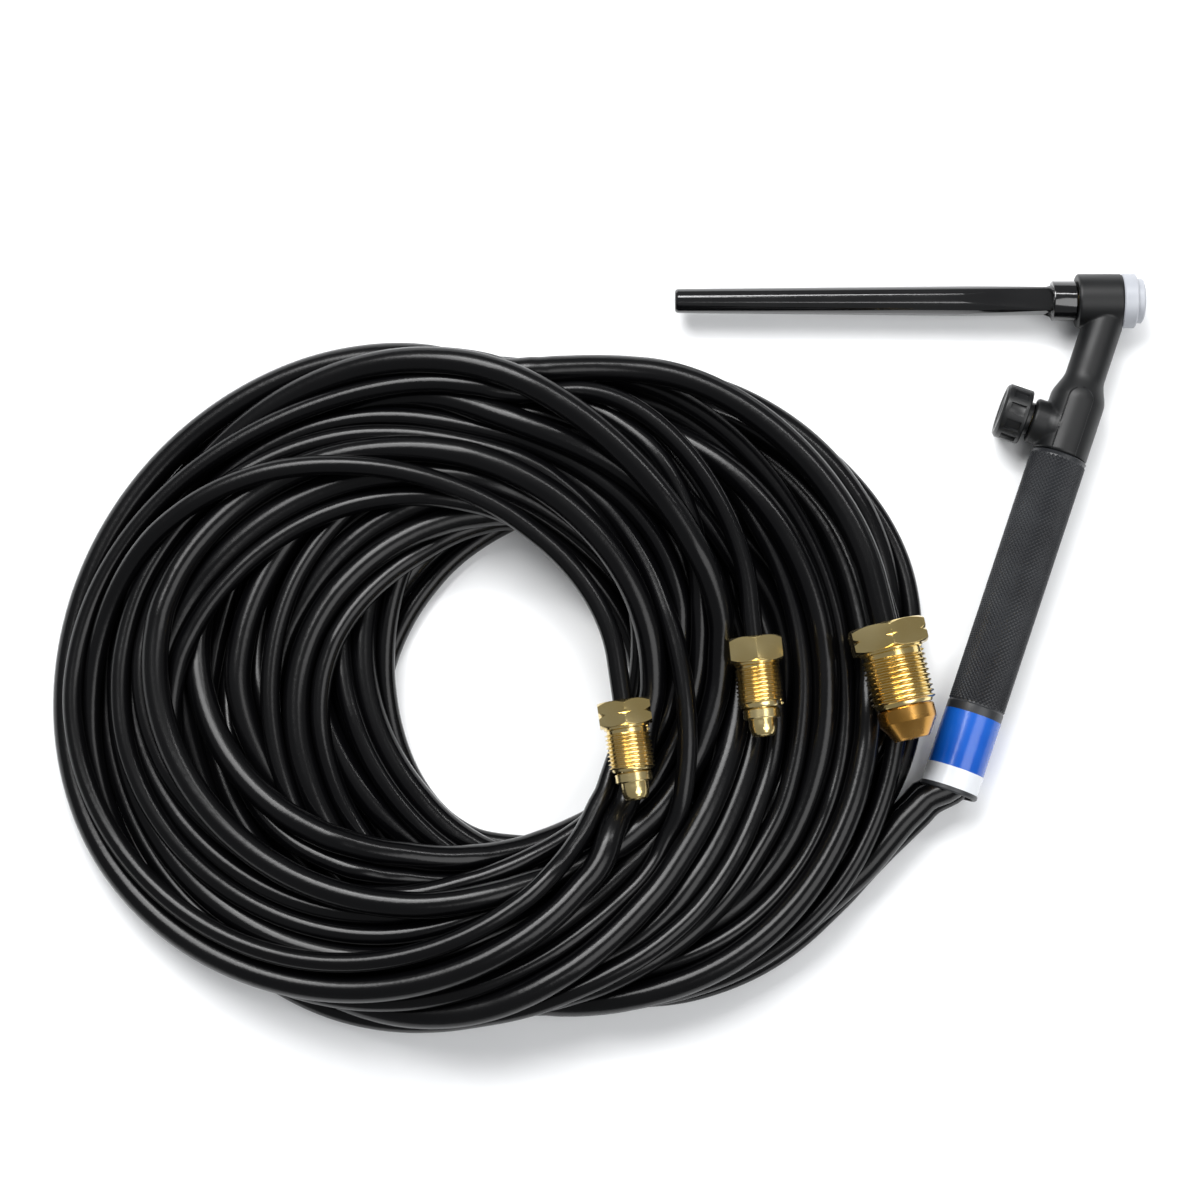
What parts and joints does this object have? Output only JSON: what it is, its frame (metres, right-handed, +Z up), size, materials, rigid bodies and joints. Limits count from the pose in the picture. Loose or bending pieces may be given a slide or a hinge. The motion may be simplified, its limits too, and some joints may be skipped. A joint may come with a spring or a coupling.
{
  "type": "tig torch",
  "caption": "Water-cooled TIG welding torch lying on its side, with a long back cap, a valve in its body, a knurled handle and coiled hoses.",
  "frame": {"origin": "centre of the bottom of the torch's own box, without its hoses, on the surface it lies on", "axes": "+X along the electrode towards its tip, +Y from the hoses' end of the handle towards the head, +Z up from the surface"},
  "size_m": [0.3878, 0.2687, 0.0492],
  "materials": {
    "moulding": "satin moulded black",
    "cap": "polished black phenolic",
    "knob": "satin moulded black",
    "handle": "diamond-knurled charcoal nylon",
    "label": "blue and white vinyl wrap, blank",
    "insulator": "white",
    "brass": "machined",
    "bronze": "machined, darker",
    "copper": "drawn tube",
    "steel": "crimped",
    "seal": "moulded",
    "hose": "glossy extruded black"
  },
  "bodies": {
    "torch": {"head_moulding": "moulding", "head_core": "brass", "front_insulator": "insulator", "power_tube": "copper", "water_tube": "copper", "gas_tube_front": "copper", "gas_tube_rear": "copper", "valve_seat": "brass", "handle": "handle", "handle_label": "label", "power_union": "brass", "water_union": "brass", "gas_union": "brass", "power_ferrule": "steel", "water_ferrule": "steel", "gas_ferrule": "steel", "power_lead": "hose", "water_lead": "hose", "gas_lead": "hose", "hose_coil": "hose", "power_tail": "hose", "water_tail": "hose", "gas_tail": "hose", "power_end_ferrule": "steel", "water_end_ferrule": "steel", "gas_end_ferrule": "steel", "power_nipple": "bronze", "water_nipple": "brass", "gas_nipple": "brass"},
    "cap_seal": {"back_cap_o_ring": "seal"},
    "cap": {"back_cap": "cap", "back_cap_insert": "brass"},
    "valve_seal": {"valve_o_ring": "seal"},
    "valve": {"valve_stem": "brass", "valve_knob": "knob"},
    "power_swivel": {"power_nut": "brass"},
    "water_swivel": {"water_nut": "brass"},
    "gas_swivel": {"gas_nut": "brass"}
  },
  "joints": [
    {"name": "cap_travel", "type": "slide", "parent": "torch", "child": "cap_seal", "axis": [-1, 0, 0], "range_m": [0, 0.00636]},
    {"name": "cap_turn", "type": "hinge", "parent": "cap_seal", "child": "cap", "pos_m": [0.07205, 0.08459, 0.0104], "axis": [-1, 0, 0], "range_deg": [0, 1800]},
    {"name": "valve_travel", "type": "slide", "parent": "torch", "child": "valve_seal", "axis": [-0.9455, 0.3256, 0], "range_m": [0, 0.00201]},
    {"name": "valve_turn", "type": "hinge", "parent": "valve_seal", "child": "valve", "pos_m": [0.05574, 0.03722, 0.0104], "axis": [-0.9455, 0.3256, 0], "range_deg": [0, 720]},
    {"name": "power_nut_turn", "type": "hinge", "parent": "torch", "child": "power_swivel", "pos_m": [-0.0125, -0.034, 0.0365], "axis": [0.225, -0.9744, 0], "continuous": true},
    {"name": "water_nut_turn", "type": "hinge", "parent": "torch", "child": "water_swivel", "pos_m": [-0.1026, -0.0603, 0.035], "axis": [0.1426, -0.9898, 0], "continuous": true},
    {"name": "gas_nut_turn", "type": "hinge", "parent": "torch", "child": "gas_swivel", "pos_m": [-0.0573, -0.0383, 0.0335], "axis": [0.0958, -0.9954, 0], "continuous": true}
  ],
  "couplings": [
    {"joint": "cap_travel", "follows": "cap_turn", "m_per_rad": 0.00020213},
    {"joint": "valve_travel", "follows": "valve_turn", "m_per_rad": 0.00015915}
  ]
}
